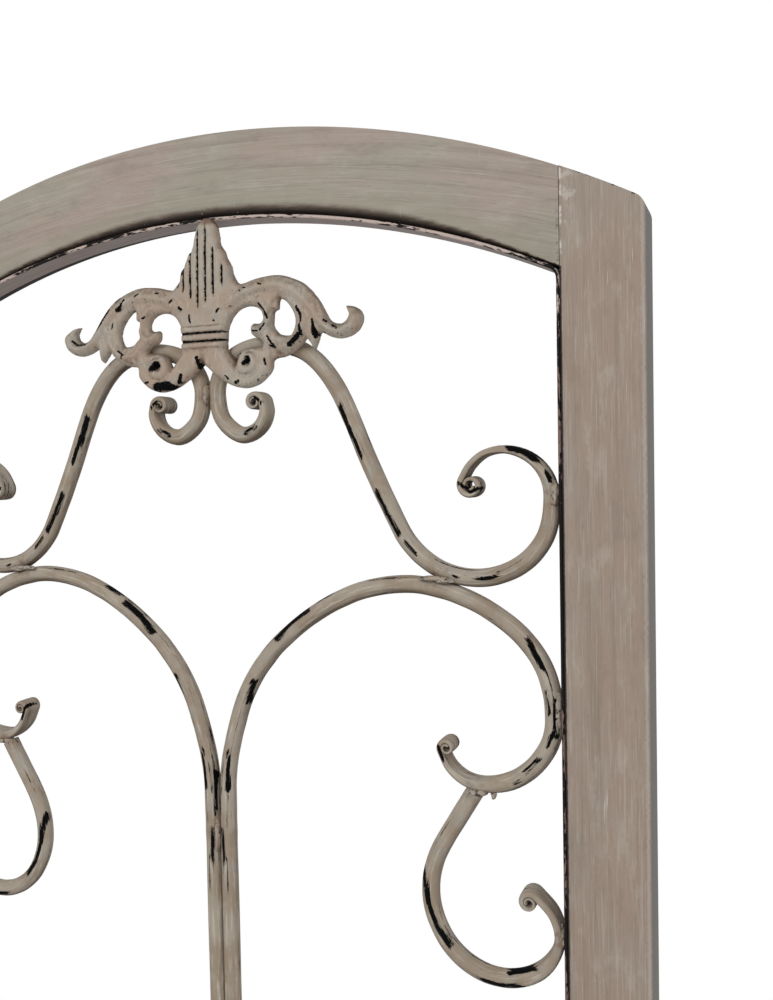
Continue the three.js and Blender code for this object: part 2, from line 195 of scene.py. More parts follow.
# Greige paint rubbed along the grain. along is the way the board runs.
# The near-black glaze colour also serves as painted shade by the opening.
woodLook = {"base": {"up": tone(159, 146, 134), "across": tone(164, 157, 143)},
            "pink": {"up": tone(160, 141, 127), "across": tone(170, 154, 143)}, "sage": tone(154, 154, 136),
            "pale": tone(190, 183, 172), "dark": tone(118, 106, 95), "glazeAndShade": tone(30, 22, 19),
            "brown": tone(92, 74, 62), "shade": tone(126, 124, 120), "scratch": tone(222, 217, 208),
            "rough": 0.62, "bump": 0.0001}


def woodFinish(panel, along):
    look = woodLook
    paint = newPaint(f"greigeWood_{panel}_{along}", look)
    spot = panelSpot(paint, panel)
    x, y, z = spot.parts()
    upward = along == "up"
    if upward:
        fibre = spot.times((1, 1, 0.022))
    else:
        # brushed partly along the curve of the arch
        fibre = paint.node("CombineXYZ", {"X": x * 0.022, "Y": y, "Z": z + x * x * 0.0008})
    patch = paint.cloud(spot.times((0.5, 0.5, 0.22) if upward else (0.22, 0.5, 0.5)), 0.05, 4, 0.6)
    paint.colour = paint.mix(patch.step(0.4, 0.62), look["base"][along], look["pink"][along])
    broad = paint.cloud(fibre, 0.3, 4, 0.62)
    paint.coat(broad.step(0.46, 0.74) * 0.4, "dark")
    fine = paint.cloud(fibre, 1.3, 4, 0.7)
    paint.coat(fine.step(0.5, 0.72) * 0.55, "pale")
    cloudy = paint.cloud(spot.times((1, 1, 0.4) if upward else (0.4, 1, 1)), 0.09, 5, 0.7)
    hair = paint.cloud(fibre, 3.2, 2, 0.6)
    paint.coat(hair.step(0.53, 0.76) * cloudy.step(0.35, 0.6) * 0.6, "dark")
    paint.coat(cloudy.step(0.5, 0.7) * 0.34, "pale")
    paint.coat((1 - cloudy.step(0.34, 0.48)) * 0.25, "dark")
    # distance from the opening: the arch above, the sides and the sill
    arch = (x * x + (z - openingCentre) * (z - openingCentre)).root() - innerArch
    side = x.size() - openHalf
    sill = openFloor - z
    lip = side.most(arch.least(z - openingCentre)).most(sill)
    ragged = paint.cloud(spot.times((0.25, 1, 1)), 0.45, 4, 0.65)
    if upward:
        above = (z - openingCentre).step(0, 60)
        # partly dark glaze on the wood's edge, partly painted shade in the gap beside the strip
        paint.coat((1 - (lip + (ragged - 0.5) * 0.5).step(0.35, 0.95)) * 0.97, "glazeAndShade")
        paint.coat((x.size() - halfWidth + 0.9).step(0, 0.8) * 0.85, "shade")
        outer = halfWidth - x.size() + (ragged - 0.5) * 2.5
        paint.coat((1 - (outer - 1.4).size().step(0.2, 1.1)) * 0.4, "pale")
        nick = paint.cloud(spot, 0.35, 4, 0.65)
        crown = (x * x + (z - archCentre) * (z - archCentre)).root() - outerArch
        rim = (crown + 1.6).step(0, 1.6) * above
        paint.coat((nick + rim * 0.09).step(0.655, 0.672) * rim, "glazeAndShade")
        joint = (1 - (side - 0.5).size().step(0.2, 0.7)) * (arch + 6).step(0, 6) * above
        gleam = paint.cloud(spot, 0.25, 4, 0.6)
        paint.coat(joint * gleam.step(0.44, 0.54) * 0.7, "scratch")
        worn = (1 - side.step(2, 14)) * (arch - 6).step(0, 22) * above
        paint.coat((gleam + worn * 0.1).step(0.6, 0.72) * worn * 0.35, "scratch")
    else:
        # painted shade over the rounded front edge above the strip: sage, then brown, then near-black next to the
        # strip, partly dark glaze in the corner
        reach = 0.5 + 4 * (1 - x.step(95, 186)) * (1 - (-x).step(10, 130) * 0.66)
        paint.coat((1 - (arch - reach + (ragged - 0.5) * 3).step(2, 10)) * 0.4, "sage")
        lipShadeAndGlaze = (arch + (ragged - 0.5) * 2.6) / reach
        paint.coat((1 - lipShadeAndGlaze.step(0.55, 1.3)) * 0.85, "brown")
        paint.coat((1 - lipShadeAndGlaze.step(0.25, 0.95)) * (0.75 + ragged * 0.4).least(1), "glazeAndShade")
        seam = (1 - (side + 0.9).size().step(0.2, 1)) * ragged.step(0.46, 0.6) * (1 - (arch - 8).step(8, 22))
        paint.coat(seam * 0.6, "glazeAndShade")
    fleck = paint.cloud(spot, 0.45, 3, 0.6)
    paint.coat(fleck.step(0.74, 0.77) * 0.6, "brown")
    scratch = 0
    for tilt in (0.3, -0.16):
        tilted = paint.node("Mapping", {"Vector": spot, "Rotation": (0, tilt, 0), "Scale": (1, 1, 0.045)})
        line = paint.cloud(tilted, 0.85, 1, 0.5)
        scratch = scratch + line.step(0.765, 0.8)
    scratch = scratch.least(1) * paint.cloud(spot, 0.022, 2).step(0.5, 0.6)
    paint.coat(scratch * 0.5, "scratch")
    rough = look["rough"] + (fine - 0.5) * 0.25
    height = broad * 0.4 + fine + hair * 0.7 - scratch * 0.6
    return paint.finish(rough, height)


# Thin paint over black iron: chips to the metal, brown rust by the welds. chips is how readily it wears through.
ironLook = {"base": tone(177, 167, 153), "warm": tone(174, 155, 138), "cool": tone(160, 155, 146),
            "chip": tone(7, 6, 6), "rust": tone(100, 64, 46), "pale": tone(214, 207, 194),
            "shadow": tone(92, 77, 63), "shine": 0.14, "rough": 0.55, "bump": 0.0002,
            "streaksAndSheen": 0.35, "shade": 0.75, "chips": 0, "ribboned": False}
barLook = {**ironLook, "base": tone(172, 161, 146), "warm": tone(158, 142, 124), "streaksAndSheen": 0.55, "shade": 1,
           "chips": 0.075, "ribboned": True}


def ironFinish(name, panel, look):
    paint = newPaint(name, look)
    spot = panelSpot(paint, panel)
    run = paint.attribute("run", "Vector") if look["ribboned"] else spot
    wear, stainAndShade, shade = (paint.attribute(k) for k in ("wear", "stainAndShade", "shade"))
    drawn = run.times((0.07, 1, 1)) if look["ribboned"] else run.times((1, 1, 0.4))
    cloud = paint.cloud(spot, 0.045, 4, 0.6)
    paint.colour = paint.mix(cloud.step(0.4, 0.62), look["base"], look["warm"])
    cool = paint.cloud(spot, 0.13, 3, 0.6)
    paint.coat(cool.step(0.5, 0.72) * 0.7, "cool")
    # pale streaks along the run: partly brush streaks in the paint, partly painted highlight
    brush = paint.cloud(drawn, 0.75, 4, 0.65)
    paint.coat(brush.step(0.5, 0.72) * look["streaksAndSheen"], "pale")
    dim = paint.cloud(drawn, 0.5, 4, 0.7)
    paint.coat((shade * 0.9 + (dim - 0.5) * 1.3).step(0.05, 0.95) * look["shade"], "shadow")
    # rust brown from the stain marks; on the casting partly painted shade in the low parts
    grime = paint.cloud(spot, 0.3, 4, 0.65)
    paint.coat((stainAndShade + (grime - 0.5) * 1.1).step(0.25, 0.95) * 0.85, "rust")
    flake = paint.cloud(drawn, 0.42, 5, 0.68) if look["ribboned"] else paint.cloud(spot, 0.6, 5, 0.7)
    ragged = paint.cloud(drawn, 2.2, 4, 0.7)
    bare = flake + wear * (ragged - 0.08) + look["chips"]
    ring = bare.step(0.695, 0.735)
    chip = bare.step(0.73, 0.745)
    paint.coat(ring * 0.3, "pale")
    paint.coat(chip, "chip")
    rough = look["rough"] + (brush - 0.5) * 0.3 + chip * 0.4
    height = (1 - ring) * 1.2 + brush * 0.6 + cool * 0.8 + grime * 0.3
    return paint.finish(rough, height, 0, look["shine"])


# The strip: plain mauve paint inside, its front edge knocked about in long dark streaks.
stripLook = {"base": tone(150, 137, 132), "warm": tone(140, 124, 118), "edge": tone(205, 186, 176),
             "low": tone(118, 94, 86), "bare": tone(18, 14, 13), "rough": 0.5, "bump": 0.0001}


def stripFinish(name, panel):
    look = stripLook
    paint = newPaint(name, look)
    spot = panelSpot(paint, panel)
    run = paint.attribute("run", "Vector")
    back = run.parts()[2]
    brush = paint.cloud(run.times((0.05, 1, 1)), 0.8, 4, 0.6)
    paint.colour = paint.mix(brush.step(0.4, 0.66), look["base"], look["warm"])
    front = 1 - (back + stripDepth / 2).step(0.3, 0.95)
    high = spot.parts()[2].step(1586, 1604)
    paint.colour = paint.mix(front * 0.85, paint.colour, paint.mix(high, look["low"], look["edge"]))
    long = paint.cloud(run.times((0.022, 0.2, 0.2)), 1, 3, 0.6)
    short = paint.cloud(run.times((0.25, 1, 1)), 1, 3, 0.6)
    bare = (long * 0.62 + short * 0.38 + (1 - high) * 0.02).step(0.478, 0.496) * front
    nick = (short + front * 0.02).step(0.7, 0.72)
    paint.coat(bare.most(nick), "bare")
    return paint.finish(look["rough"] + bare * 0.3, brush - bare * 1.5)


brassLook = {"base": tone(128, 110, 76), "dark": tone(66, 54, 40), "worn": tone(170, 148, 100), "bump": 0.0001,
             "rough": 0.38, "metal": 0.85, "shine": 0.5}


def brassFinish():
    look = brassLook
    paint = newPaint("agedBrass", look)
    spot = paint.node("TexCoord", out="Object")
    mottle = paint.cloud(spot, 130, 4, 0.6)
    paint.colour = paint.mix(mottle.step(0.4, 0.65), look["base"], look["dark"])
    rub = paint.cloud(spot, 420, 3, 0.6)
    paint.coat(rub.step(0.55, 0.75) * 0.6, "worn")
    return paint.finish(look["rough"] + mottle * 0.25, rub, look["metal"], look["shine"])


woodPaint = {(p, way): woodFinish(p, way) for p in panels for way in ("up", "across")}
barPaint = {p: ironFinish(f"chippedBar_{p}", p, barLook) for p in panels}
castPaint = {p: ironFinish(f"chippedCasting_{p}", p, ironLook) for p in panels}
stripPaint = {p: stripFinish(f"chippedStrip_{p}", p) for p in panels}
brass = brassFinish()
print("materials made")


def addPiece(name, shape, panel, material, nodes=(), mirrored=False, sharp=35):
    work = shape.copy()
    if mirrored:
        rescale(work, -1, 1, 1)
        bmesh.ops.reverse_faces(work, faces=work.faces)
    work.transform(panelFrame(panel))
    mesh = toMesh(name, work)
    mesh.shade_smooth()
    mesh.set_sharp_from_angle(angle=radians(sharp))
    mesh.materials.append(material)
    piece = addObject(name, mesh)
    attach(piece, f"{panel}_panel")
    if nodes:
        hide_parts(*nodes)


def addPair(panel, name, node, shape, material, sharp=35):
    for side, flip in (("right", False), ("left", True)):
        addPiece(f"{panel}_{name}_{side}", shape, panel, material, [f"{panel}_{node}_{side}"], flip, sharp)


def cutOutside(work, place, normal):
    geometry = work.verts[:] + work.edges[:] + work.faces[:]
    cut = bmesh.ops.bisect_plane(work, geom=geometry, plane_co=place, plane_no=normal, clear_outer=True)["geom_cut"]
    bmesh.ops.edgenet_fill(work, edges=[e for e in cut if isinstance(e, bmesh.types.BMEdge)])


def bevelEdges(work, edges, offset, segments=3):
    bmesh.ops.bevel(work, geom=edges, offset=offset, offset_type="OFFSET", affect="EDGES", segments=segments,
                    profile=0.5, material=-1, clamp_overlap=True)


def shift(work, *offset):
    bmesh.ops.translate(work, vec=offset, verts=work.verts)


def rescale(work, *factors):
    bmesh.ops.scale(work, vec=factors, verts=work.verts)


def faceOut(work):
    bmesh.ops.recalc_face_normals(work, faces=work.faces)


def block(size, place=(0, 0, 0)):
    work = bmesh.new()
    bmesh.ops.create_cube(work, size=1)
    rescale(work, *size)
    shift(work, *place)
    return work


def newMarks(work, *names):
    return [work.verts.layers.float.new(name) for name in names]


def ringGrid(work, rings, sides):
    bmesh.ops.create_grid(work, x_segments=rings, y_segments=sides, size=1)
    for v in work.verts:
        yield v, round((v.co.x + 1) / 2 * rings), round((v.co.y + 1) / 2 * sides)


def weld(work):
    # joins a swept grid along its seam and closes its ends
    bmesh.ops.remove_doubles(work, verts=work.verts, dist=1e-4)
    ends = [e for e in work.edges if e.is_boundary]
    if ends:
        bmesh.ops.edgenet_fill(work, edges=ends)
    faceOut(work)


def ramp(x):
    return np.clip(x, 0, 1)


def bell(x, width):
    return np.exp(-(x / width) ** 2)


def shadeBelow(work, sideShare=0.35):
    # painted shade: darker underneath and along the sides, worked out from the normals
    shade, = newMarks(work, "shade")
    work.normal_update()
    for v in work.verts:
        n = v.normal
        v[shade] = min(max(-n.z, 0) * 0.9 + sideShare * max(1 - abs(n.y) - 0.25, 0), 1)


# Wooden boards, their long edges rounded, the joints between them left nearly sharp.
boards = {"outerRound": 1.4, "openRound": 0.6, "archSteps": 96, "curveSteps": 5,
          "archCuts": (181, 187, 193, 199, 205), "shoulderCuts": 8,
          # the front edge over the strip: how far up it is rounded off, at places across the arch
          "lip": [
          (-179, 1.6), (-150, 2.8), (-120, 3.4), (-60, 3.8), (0, 4.2), (60, 4.4), (110, 4.2), (150, 3), (179, 0.7)],
          "lipDepth": 4.5}


def board(x0, x1, z0, z1):
    return block((x1 - x0, screen["thickness"], z1 - z0), ((x0 + x1) / 2, 0, (z0 + z1) / 2))


def outlineEdges(work):
    return [e for e in work.edges if len(e.link_faces) == 2
            and sum(abs(f.normal.y) > 0.9 for f in e.link_faces) == 1]


def makeStile():
    work = board(openHalf, halfWidth, 0, screen["height"])
    for x in boards["archCuts"]:
        rise = sqrt(outerArch ** 2 - x ** 2)
        cutOutside(work, (x, 0, archCentre + rise), (x, 0, rise))
    # the shoulder, rounded by planes touching a circle inside the arch and the side
    r = screen["corner"]
    across = halfWidth - r
    rise = sqrt((outerArch - r) ** 2 - across ** 2)
    cuts = boards["shoulderCuts"]
    for k in range(1, cuts + 1):
        a = atan2(rise, across) * k / cuts
        c, s = cos(a), sin(a)
        cutOutside(work, (across + r * c, 0, archCentre + rise + r * s), (c, 0, s))
    work.normal_update()
    outer = [e for e in outlineEdges(work) if min(v.co.x for v in e.verts) > openHalf + 0.01
             or max(v.co.z for v in e.verts) < 1]
    bevelEdges(work, outer, boards["outerRound"])
    work.normal_update()
    inner = [e for e in outlineEdges(work) if all(v.co.x < openHalf + 0.01 for v in e.verts)]
    bevelEdges(work, inner, boards["openRound"], 2)
    return work


def makeTopRail():
    # a strip of section rings across the panel: bottom front lip, faces, outer rounding
    reach, round_, half = openHalf - touch, boards["outerRound"], woodHalf
    lipAt, lipUp = zip(*boards["lip"])
    curve, steps = boards["curveSteps"], boards["archSteps"]
    sides = 3 * curve + 4
    work = bmesh.new()
    for v, i, k in ringGrid(work, steps, sides):
        k %= sides
        x = reach * (2 * i / steps - 1)
        top = archCentre + sqrt(outerArch ** 2 - x * x)
        low = openingCentre + sqrt(innerArch ** 2 - x * x)
        lip = float(np.interp(x, lipAt, lipUp))
        if k <= curve:
            t = pi / 2 * k / curve
            y, z = -half + boards["lipDepth"] * (1 - sin(t)), low + lip * (1 - cos(t))
        elif k <= 2 * curve + 1:
            t = pi / 2 * (k - curve - 1) / curve
            y, z = -half + round_ * (1 - cos(t)), top - round_ * (1 - sin(t))
        elif k <= 3 * curve + 2:
            t = pi / 2 * (k - 2 * curve - 2) / curve
            y, z = half - round_ * (1 - sin(t)), top - round_ * (1 - cos(t))
        else:
            y, z = half, low
        v.co = (x, y, z)
    weld(work)
    return work


def makeBottomRail():
    reach = openHalf - touch
    work = board(-reach, reach, screen["foot"], openFloor)
    long = [e for e in work.edges if abs(e.verts[0].co.x - e.verts[1].co.x) > 1]
    bevelEdges(work, long, boards["outerRound"])
    return work


stile, topRail, bottomRail = makeStile(), makeTopRail(), makeBottomRail()
for p in panels:
    addPair(p, "stile_board", "stile", stile, woodPaint[p, "up"])
    for name, shape in (("top_rail", topRail), ("bottom_rail", bottomRail)):
        addPiece(f"{p}_{name}_board", shape, p, woodPaint[p, "across"], [f"{p}_{name}"])
print("boards made")

# Round bar and strip. Routes run across from the centre line and down from the crown of the arch.
barRadius = barDiameter / 2
ironPlane = -woodHalf + 0.5 + stripDepth / 2
stripFloor = openFloor + touch + stripThickness
stripWall = openHalf - touch - stripThickness
barBeside = barRadius + touch / 2
barReach = stripWall - touch - barRadius
forging = {"sides": 20, "bendPerRing": 7, "longestRing": 2.2, "tipThickness": 3.2, "rollThickness": 1.5,
           "tipDepth": 11.5, "waver": 0.16, "waverLength": 9,
           "tipReach": 26, "squareness": 2.6, "rustReach": 70}
loopCrown = 219.6


def head(x, depth):
    return x, screen["height"] - depth


def foot(x, depth):
    return x, stripFloor + touch + barRadius + depth - loopCrown


def fitAcross(reach, points):
    widest = max(x for x, level in points)
    return [(x + (reach - widest) * min(max(x / 80 - 0.25, 0), 1), level) for x, level in points]


loop = fitAcross(barReach, [
    (barBeside, 360), (barBeside, 340), (barBeside + 0.8, 318), (8.6, 301), (16.4, 278), (28, 259.6), (42, 245.4),
    (60, 232.6), (80, 223.4), (102, loopCrown), (116, 220.8), (130, 224.6), (144, 231.4), (158, 242), (167.6, 256),
    (171.65, 273), (170, 288), (162, 300.4), (151, 308), (139, 310.4), (130, 308.6), (123.4, 303.4), (119.4, 296)])
side = fitAcross(barReach + (barRadius - forging["tipThickness"] / 2) * 0.6, [
    (134.4, 314.4), (127.6, 325.6), (120, 338), (114.4, 350), (112.2, 363), (114.4, 376), (121, 388), (132, 396.4),
    (145, 399.6), (158, 396.8), (168, 389), (173.24, 377), (170.6, 366), (163.4, 358.2)])
middleLevel = (head(0, 0)[1] + foot(0, 0)[1]) / 2
middleSpine = barBeside + 2 * barRadius + touch
middleTop = 152 - barRadius
middleUpper = fitAcross(barReach, [
    (middleSpine, 0), (middleSpine + 3, middleTop - 108), (middleSpine + 14, middleTop - 62), (48, middleTop - 24),
    (80, middleTop - 5), (112, middleTop), (142, middleTop - 9), (163, middleTop - 30), (171.65, middleTop - 56),
    (166, middleTop - 80), (151, middleTop - 93), (136, middleTop - 90)])

# draw is the length hammered flat at each end, rolls the curls there: way round, first and last radius, turns.
bars = {
    "shoulder_scroll": {
        "route": [head(*p) for p in fitAcross(barReach, [
            (31.4, 131.6), (32, 136.4), (29.8, 142), (25, 146.2), (18.6, 147.6), (12, 144.6), (6.6, 138.6),
            (barBeside, 130.6),
            (barBeside, 123), (7.4, 115.4), (14.6, 108.4), (25, 104.6), (38, 104), (50, 107), (58, 112), (66, 121),
            (73, 133), (84, 159), (95, 183), (102.6, 197.6), (109.6, 205.6), (119, 212), (130, 215.4),
            (141, 215.6), (152, 212.6), (162, 206), (169, 196.4), (171.65, 184), (170.6, 172), (164.4, 163),
            (153, 158), (142, 159.4), (135, 165), (131.6, 170.6)])],
        "draw": (52, 118), "rolls": ((-1, 4.4, 1.3, 1.5), (1, 5.2, 1.5, 1.6))},
    "centre_bar": {
        "route": [foot(*p) for p in reversed(loop)] + [head(*p) for p in loop],
        "draw": (64, 64), "rolls": ((-1, 3.6, 1.2, 1.5), (-1, 3.6, 1.2, 1.5))},
    "upper_side_scroll": {
        "route": [head(*p) for p in side], "draw": (0, 84), "rolls": (None, (1, 4.4, 1.3, 1.5))},
    "lower_side_scroll": {
        "route": [foot(*p) for p in side], "draw": (0, 84), "rolls": (None, (-1, 4.4, 1.3, 1.5))},
    "middle_scroll": {
        "route": [(x, middleLevel - z) for x, z in reversed(middleUpper[1:])]
        + [(x, middleLevel + z) for x, z in middleUpper],
        "draw": (62, 62), "rolls": ((-1, 8, 1.4, 1.6), (1, 8, 1.4, 1.6))},
}



# Chips on the bars: half the width of each, then its line as across and depth in turn.
barWear = [
    (1.5, 155.1, 157.1, 158.7, 158), (1.7, 161, 158.6, 166.4, 162), (0.9, 171, 168, 173, 171),
    (0.6, 127.6, 214.6, 140, 215.4), (0.6, 140.8, 216.6, 148.7, 213.4), (1.2, 162.4, 242.5, 167.6, 254.7),
    (0.9, 169.7, 264.4, 171.4, 275.3), (1.1, 174.5, 268.5, 173.6, 285.4), (0.9, 172, 283, 170.6, 289),
    (1, 167, 294.6, 160, 302), (0.9, 158.4, 305.4, 154, 308.6), (1.6, 36, 248.4, 44.5, 239.8, 53, 233.6),
    (1.3, 57, 229, 66, 224.4), (1.5, 110.6, 353.8, 112.4, 366.8, 117.4, 379.2, 123, 387),
    (0.9, 137.9, 400.4, 147.3, 401.6, 158, 400), (0.8, 150, 396, 164, 391), (1.5, 73, 136, 77.4, 146, 83, 159),
    (1.4, 91, 176.4, 96, 186.4, 102, 196.4), (0.9, 105, 199.6, 110, 205), (0.8, 7.3, 304.6, 6.7, 325),
    (0.8, 2.6, 347, 3.6, 366), (0.9, 6.7, 400, 5.2, 415), (0.6, 1.2, 318, 1.6, 340), (0.9, 19, 281, 23, 270),
    (0.7, 28.4, 129.6, 33, 133), (1, 22, 146.6, 25.4, 144.6), (0.7, 27, 144.4, 28.4, 142.6),
    (0.9, 131.6, 172.4, 137, 176.6, 140.8, 175), (0.8, 118, 290, 122, 300)]


def toLine(x, d, line):
    best = np.full(np.shape(x), 1e9)
    line = np.reshape(line, (-1, 2))
    for a, b in zip(line, line[1:]):
        ab = b - a
        t = ramp(((x - a[0]) * ab[0] + (d - a[1]) * ab[1]) / (ab @ ab))
        best = np.minimum(best, np.hypot(x - a[0] - t * ab[0], d - a[1] - t * ab[1]))
    return best


rustSpots = [(176, 178), (176, 274), (119.5, 216), (137, 313.5), (176, 375), (0, 128), (0, 350)]


def span(b, c, into, out, fine):
    # a cubic from b to c, leaving and arriving with the given tangents, without its last point
    return [b + into * t + (3 * (c - b) - 2 * into - out) * t * t + (2 * (b - c) + into + out) * t ** 3
            for t in (k / fine for k in range(fine))]


def smoothRoute(points, fine=24):
    p = [np.array(q, float) for q in points]
    p = [2 * p[0] - p[1]] + p + [2 * p[-1] - p[-2]]
    made = []
    for i in range(1, len(p) - 2):
        a, b, c, d = p[i - 1:i + 3]
        ta, tb, tc = (max(np.linalg.norm(v) ** 0.5, 1e-4) for v in (b - a, c - b, d - c))
        into = ((b - a) / ta - (c - a) / (ta + tb) + (c - b) / tb) * tb
        out = ((c - b) / tb - (d - b) / (tb + tc) + (d - c) / tc) * tb
        made += span(b, c, into, out, fine)
    return made + [p[-2]]


def rollOn(path, roll):
    way, first, last, turns = roll
    heading = atan2(*(path[-1] - path[-2])[::-1])
    place, steps = path[-1], int(turns * 36)
    made = list(path)
    for k in range(steps):
        radius = first + (last - first) * (k / steps) ** 0.8
        heading += way * radians(5)
        place = place + radius * radians(10) * np.array((cos(heading), sin(heading)))
        heading += way * radians(5)
        made.append(place)
    return made


def barStations(bar):
    path = smoothRoute(bar["route"])
    first, last = bar["rolls"]
    if last:
        path = rollOn(path, last)
    if first:
        path = rollOn(path[::-1], (-first[0],) + first[1:])[::-1]
    path = np.array(path)
    steps = np.linalg.norm(np.diff(path, axis=0), axis=1)
    keep = np.concatenate(([True], steps > 1e-6))
    path = path[keep]
    steps = np.linalg.norm(np.diff(path, axis=0), axis=1)
    along = np.concatenate(([0], np.cumsum(steps)))
    heading = np.unwrap(np.arctan2(*np.diff(path, axis=0).T[::-1]))
    picked, since, bend = [0], 0, 0
    for i in range(1, len(path) - 1):
        since += steps[i - 1]
        bend += abs(heading[i] - heading[i - 1])
        if bend > radians(forging["bendPerRing"]) or since > forging["longestRing"]:
            picked.append(i)
            since = bend = 0
    picked.append(len(path) - 1)
    middle = np.concatenate(([heading[0]], (heading[1:] + heading[:-1]) / 2, [heading[-1]]))
    return path[picked], middle[picked], along[picked], along[-1]


def ease(t):
    t = min(max(t, 0), 1)
    return t * t * (3 - 2 * t)


def forgeBar(bar):
    places, headings, along, total = barStations(bar)
    work = bmesh.new()
    run = work.verts.layers.float_vector.new("run")
    wear, stainAndShade = newMarks(work, "wear", "stainAndShade")
    for v, i, _ in ringGrid(work, len(places) - 1, forging["sides"]):
        angle = pi * (v.co.y + 1)
        ends = list(zip((along[i], total - along[i]), bar["draw"]))
        flat = 1 - min(ease((s / d - 0.35) / 0.65) if d else 1 for s, d in ends)
        tip = 1 - min(ease(s / forging["tipReach"]) if d else 1 for s, d in ends)
        across = barRadius + (forging["tipThickness"] / 2 - barRadius) * flat
        across += (forging["rollThickness"] / 2 - across) * tip
        deep = barRadius + (forging["tipDepth"] / 2 - barRadius) * flat
        power = 2 / (2 + forging["squareness"] * flat)
        c, s = cos(angle), sin(angle)
        a = across * copysign(abs(c) ** power, c)
        b = deep * copysign(abs(s) ** power, s)
        x, z = places[i]
        sway = noise.noise(Vector((x, z, 7)) / forging["waverLength"]) * forging["waver"] * (1 - tip)
        a += (sway + 0.5 * sway * c) * (1 - flat * 0.6)
        h = headings[i]
        v.co = (x + a * sin(h), ironPlane + b, z - a * cos(h))
        v[run] = (along[i], barRadius * c, barRadius * s)
        v[wear] = 0.16 * (1 - abs(s)) + 0.2 * tip
    weld(work)
    x, _, z = np.array([v.co for v in work.verts]).T
    depth = np.minimum(screen["height"] - z, z - stripFloor - touch - barRadius + loopCrown)
    chipped = np.zeros(len(x))
    for half, *line in barWear:
        chipped = np.maximum(chipped, bell(toLine(x, depth, line), half * 0.9))
    rusty = np.zeros(len(x))
    for across, down in rustSpots:
        rusty = np.maximum(rusty, np.exp(-((x - across) ** 2 + (depth - down) ** 2) / forging["rustReach"]))
    for v, bare, rust in zip(work.verts, chipped, rusty):
        if v[run].z < 1:
            v[wear] = max(v[wear], bare)
        v[stainAndShade] = 0.55 * rust
    shadeBelow(work)
    return work


forged = {name: forgeBar(bar) for name, bar in bars.items()}
for p in panels:
    for name, shape in forged.items():
        addPair(p, f"{name}_forging", name, shape, barPaint[p], 50)
print("bars forged")

# The lining strip: one flat bar bent round the opening, seam at the sill.
lining = {"bend": 5, "edge": 0.45, "arcSteps": 60}


def makeLining():
    half = openHalf - touch - stripThickness / 2
    radius = innerArch - touch - stripThickness / 2
    bend = lining["bend"] + stripThickness / 2
    side = half - bend
    rise = openingCentre + sqrt((radius - bend) ** 2 - side ** 2)
    lean = atan2(rise - openingCentre, side)
    low = stripFloor - stripThickness / 2 + bend

    def arc(cx, cz, r, a, b, steps):
        return [(cx + r * cos(a + (b - a) * k / steps), cz + r * sin(a + (b - a) * k / steps),
                 a + (b - a) * k / steps) for k in range(steps + 1)]

    wall = [(half, low + (rise - low) * k / 40, 0) for k in range(1, 40)]
    right = arc(side, low, bend, -pi / 2, 0, 8) + wall + arc(side, rise, bend, 0, lean, 6)
    crown = arc(0, openingCentre, radius, lean, pi - lean, lining["arcSteps"])[1:-1]
    left = [(-x, z, pi - a) for x, z, a in reversed(right)]
    sill = [(-side + 2 * side * k / 12, low - bend, 3 * pi / 2) for k in range(1, 12)]
    loopPlaces = right + crown + left + sill
    e, t, d = lining["edge"], stripThickness / 2, stripDepth / 2
    section = [(t, -d + e), (t, d - e), (t - e, d), (-t + e, d), (-t, d - e), (-t, -d + e), (-t + e, -d), (t - e, -d)]
    rings, sides = len(loopPlaces), len(section)
    gaps = [dist(p[:2], q[:2]) for p, q in zip(loopPlaces, loopPlaces[1:])]
    along = np.concatenate(([0], np.cumsum(gaps)))
    work = bmesh.new()
    run = work.verts.layers.float_vector.new("run")
    for v, i, k in ringGrid(work, rings, sides):
        i %= rings
        a, b = section[k % sides]
        x, z, angle = loopPlaces[i]
        v.co = (x + a * cos(angle), ironPlane + b, z + a * sin(angle))
        v[run] = (along[i], a, b)
    weld(work)
    return work


liningShape = makeLining()
for p in panels:
    addPiece(f"{p}_lining_band", liningShape, p, stripPaint[p], [f"{p}_lining_strip"])
print("lining made")

# The fleur-de-lis casting, drawn flat: its right half and its two openings, across and depth in turn.
castEdge = [
    0, 41.8, 1.8, 42.2, 3.6, 43.8, 5.6, 46.7, 6.9, 52, 7.5, 55.3, 10, 58.6, 11.3, 61.8, 14.1, 66.4, 14.9, 69.8, 18.8,
    74.8, 27.8, 73, 36, 72.2, 42, 72.7, 48.4, 74.9, 53.8, 77.6, 58.6, 82, 62.4, 86.6, 65.3, 91.2, 68, 95.4, 70.9, 97,
    74.2, 97.2, 76.6, 95.4, 77.4, 93, 75.4, 89.3, 79.8, 90, 83.2, 92, 84.9, 94.9, 84.6, 97.9, 82.8, 101, 79.2, 103.4,
    74.1, 104.4, 69.1, 103.4, 65.3, 101.6, 63.4, 100.8, 62.4, 104.6, 60.7, 108.8, 58, 105.4, 56, 102.8, 53.9, 105.9,
    48.2, 109.6, 44.8, 111.1, 40.2, 111.7, 38.5, 113.1, 38.2, 116.6, 36.3, 119.4, 32, 122.9, 27.6, 124.6, 23.8, 125.1,
    18.4, 124.2, 13.6, 122.3, 10.4, 120.4, 6.6, 118, 3.6, 115.4, 0, 112.5]
castEye = [
    41.3, 83.4, 44, 84.8, 46.6, 87.4, 49, 91, 50, 94.6, 49.5, 98, 47.6, 100.9, 44.2, 100.9, 40.9, 99.8, 38.1, 96.2,
    38.2, 92.4, 38.4, 89.4, 40.4, 88.6, 40.6, 86]
castCurl = [
    13, 96.1, 14.6, 92, 16.9, 88.9, 20, 86.8, 24.4, 85.9, 28.6, 86.8, 31.2, 88.8, 32.3, 91.8, 31.5, 93.9, 29, 94.4,
    27.3, 94.1, 26, 95.2, 25.7, 97.2, 26.2, 99.2, 28, 100.8, 31, 102, 33, 104, 32.9, 105.1, 28.6, 105.4, 23.4, 106.2,
    20.6, 109.2, 18.9, 113, 15, 108.6, 12.7, 104.8]
